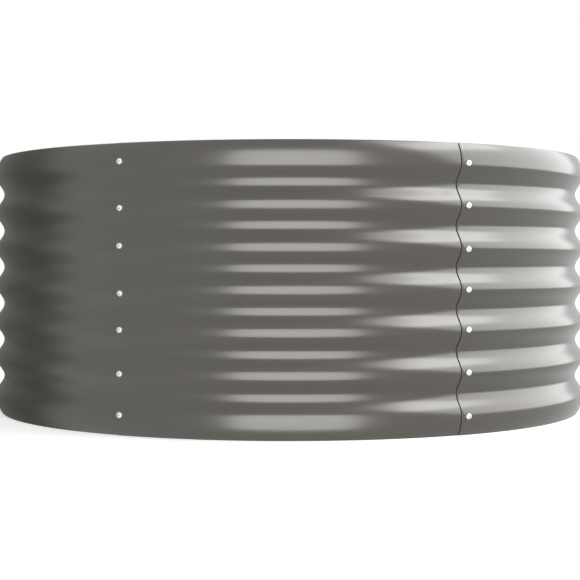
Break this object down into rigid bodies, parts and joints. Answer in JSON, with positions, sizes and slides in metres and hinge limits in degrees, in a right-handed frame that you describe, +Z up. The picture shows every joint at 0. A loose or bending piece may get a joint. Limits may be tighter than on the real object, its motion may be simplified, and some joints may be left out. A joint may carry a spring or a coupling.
{
  "type": "raised garden bed",
  "caption": "Round open garden bed: corrugated powder-coated steel wall panels, rolled to arcs, lapped like shingles and bolted together through their crests.",
  "frame": {"origin": "centre of the bottom rim, on the surface that the bed stands on", "axes": "+Z up, towards the open top; -Y is the front, towards the middle of the front panel; +X is to the right seen from the front"},
  "size_m": [0.8606, 0.8528, 0.36],
  "materials": {
    "powder_coated_steel": "warm grey powder coat, satin",
    "zinc_plated_steel": "bright zinc plate, satin"
  },
  "bodies": {
    "root": {"panel_front": "powder_coated_steel", "panel_front_right": "powder_coated_steel", "panel_back_right": "powder_coated_steel", "panel_back": "powder_coated_steel", "panel_back_left": "powder_coated_steel", "panel_front_left": "powder_coated_steel", "bolt_front_left_1": "zinc_plated_steel", "bolt_front_left_2": "zinc_plated_steel", "bolt_front_left_3": "zinc_plated_steel", "bolt_front_left_4": "zinc_plated_steel", "bolt_front_left_5": "zinc_plated_steel", "bolt_front_left_6": "zinc_plated_steel", "bolt_front_left_7": "zinc_plated_steel", "bolt_front_right_1": "zinc_plated_steel", "bolt_front_right_2": "zinc_plated_steel", "bolt_front_right_3": "zinc_plated_steel", "bolt_front_right_4": "zinc_plated_steel", "bolt_front_right_5": "zinc_plated_steel", "bolt_front_right_6": "zinc_plated_steel", "bolt_front_right_7": "zinc_plated_steel", "bolt_right_1": "zinc_plated_steel", "bolt_right_2": "zinc_plated_steel", "bolt_right_3": "zinc_plated_steel", "bolt_right_4": "zinc_plated_steel", "bolt_right_5": "zinc_plated_steel", "bolt_right_6": "zinc_plated_steel", "bolt_right_7": "zinc_plated_steel", "bolt_back_right_1": "zinc_plated_steel", "bolt_back_right_2": "zinc_plated_steel", "bolt_back_right_3": "zinc_plated_steel", "bolt_back_right_4": "zinc_plated_steel", "bolt_back_right_5": "zinc_plated_steel", "bolt_back_right_6": "zinc_plated_steel", "bolt_back_right_7": "zinc_plated_steel", "bolt_back_left_1": "zinc_plated_steel", "bolt_back_left_2": "zinc_plated_steel", "bolt_back_left_3": "zinc_plated_steel", "bolt_back_left_4": "zinc_plated_steel", "bolt_back_left_5": "zinc_plated_steel", "bolt_back_left_6": "zinc_plated_steel", "bolt_back_left_7": "zinc_plated_steel", "bolt_left_1": "zinc_plated_steel", "bolt_left_2": "zinc_plated_steel", "bolt_left_3": "zinc_plated_steel", "bolt_left_4": "zinc_plated_steel", "bolt_left_5": "zinc_plated_steel", "bolt_left_6": "zinc_plated_steel", "bolt_left_7": "zinc_plated_steel"}
  },
  "joints": []
}
